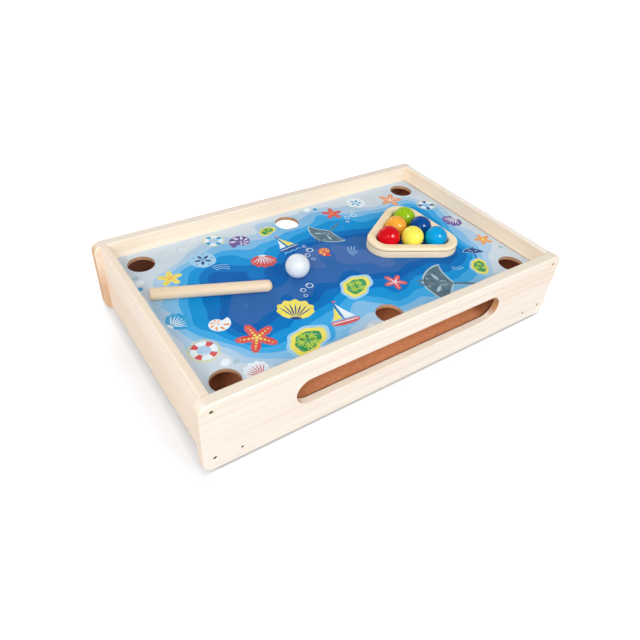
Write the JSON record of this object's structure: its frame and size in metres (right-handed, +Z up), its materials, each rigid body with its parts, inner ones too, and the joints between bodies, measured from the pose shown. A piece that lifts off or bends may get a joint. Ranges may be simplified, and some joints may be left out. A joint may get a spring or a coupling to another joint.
{
  "type": "tabletop pool game",
  "caption": "Tabletop pool game: an open wooden box with a sunk printed field, round pockets over a ball tray, slotted long sides, loose coloured balls, a triangle rack and a cue.",
  "frame": {"origin": "on the table under the middle of the box", "axes": "+X along the long boards, away from the cue and towards the rack; +Y from the front slot to the back slot; +Z up"},
  "size_m": [0.43, 0.256, 0.0871],
  "materials": {
    "pale_wood": "sanded, clear matt lacquer",
    "field_board": "raw pressed board",
    "field_print": "printed, satin",
    "tray_board": "smooth pressed board",
    "fastener_steel": "dark, dull",
    "ball_white": "gloss paint",
    "ball_red": "gloss paint",
    "ball_yellow": "gloss paint",
    "ball_light_blue": "gloss paint",
    "ball_orange": "gloss paint",
    "ball_dark_blue": "gloss paint",
    "ball_green": "gloss paint",
    "rack_wood": "sanded plywood",
    "cue_wood": "sanded dowel"
  },
  "bodies": {
    "box": {"front_board": "pale_wood", "back_board": "pale_wood", "left_end_board": "pale_wood", "right_end_board": "pale_wood", "playfield_panel": "field_board", "playfield_print": "field_print", "tray_floor": "tray_board", "left_tray_batten": "pale_wood", "right_tray_batten": "pale_wood", "front_corner_screws": "fastener_steel", "back_corner_screws": "fastener_steel", "front_bottom_nails": "fastener_steel", "back_bottom_nails": "fastener_steel"},
    "rack": {"rack_lower_ring": "rack_wood", "rack_upper_ring": "rack_wood"},
    "cue": {"cue_stick": "cue_wood"},
    "cue_ball": {"cue_ball": "ball_white"},
    "red_ball": {"red_ball": "ball_red"},
    "yellow_ball": {"yellow_ball": "ball_yellow"},
    "light_blue_ball": {"light_blue_ball": "ball_light_blue"},
    "orange_ball": {"orange_ball": "ball_orange"},
    "dark_blue_ball": {"dark_blue_ball": "ball_dark_blue"},
    "green_ball": {"green_ball": "ball_green"}
  },
  "joints": [
    {"name": "rack_lift", "type": "slide", "parent": "box", "child": "rack", "axis": [0, 0, 1], "range_m": [0, 0.06]},
    {"name": "cue_stroke", "type": "slide", "parent": "box", "child": "cue", "axis": [0.9272, -0.3746, 0], "range_m": [-0.008, 0.12]},
    {"name": "cue_ball_roll", "type": "slide", "parent": "box", "child": "cue_ball", "axis": [1, 0, 0], "range_m": [0, 0.076]},
    {"name": "red_ball_lift", "type": "slide", "parent": "box", "child": "red_ball", "axis": [0, 0, 1], "range_m": [0, 0.05]},
    {"name": "yellow_ball_lift", "type": "slide", "parent": "box", "child": "yellow_ball", "axis": [0, 0, 1], "range_m": [0, 0.05]},
    {"name": "light_blue_ball_lift", "type": "slide", "parent": "box", "child": "light_blue_ball", "axis": [0, 0, 1], "range_m": [0, 0.05]},
    {"name": "orange_ball_lift", "type": "slide", "parent": "box", "child": "orange_ball", "axis": [0, 0, 1], "range_m": [0, 0.05]},
    {"name": "dark_blue_ball_lift", "type": "slide", "parent": "box", "child": "dark_blue_ball", "axis": [0, 0, 1], "range_m": [0, 0.05]},
    {"name": "green_ball_lift", "type": "slide", "parent": "box", "child": "green_ball", "axis": [0, 0, 1], "range_m": [0, 0.05]}
  ]
}
